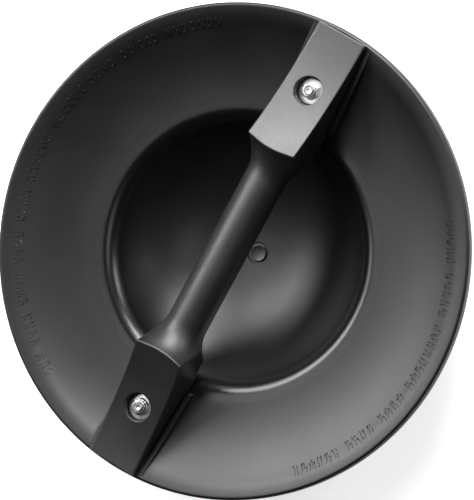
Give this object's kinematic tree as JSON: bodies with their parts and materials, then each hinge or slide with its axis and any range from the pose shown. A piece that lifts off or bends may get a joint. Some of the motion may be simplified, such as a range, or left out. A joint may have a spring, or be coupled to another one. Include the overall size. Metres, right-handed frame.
{
  "type": "buckler shield",
  "caption": "Round dished shield with a deep central boss and a hand grip bolted across its back, lying boss down with the grip on top.",
  "frame": {"origin": "centre of the small flat at the pole of the boss, on which the part lies", "axes": "+Z out of the back, the grip side; +Y along the grip bar; +X across it"},
  "size_m": [0.355, 0.355, 0.1012],
  "materials": {
    "shell_plastic": "satin black moulded polypropylene with a faint grain",
    "grip_plastic": "satin black moulded polypropylene, a little smoother than the shell",
    "zinc_steel": "bright zinc-plated steel"
  },
  "bodies": {
    "root": {"shell": "shell_plastic", "grip_bar": "grip_plastic", "bolt_a": "zinc_steel", "bolt_b": "zinc_steel", "washer_a": "zinc_steel", "washer_b": "zinc_steel", "nut_a": "zinc_steel", "nut_b": "zinc_steel"}
  },
  "joints": []
}
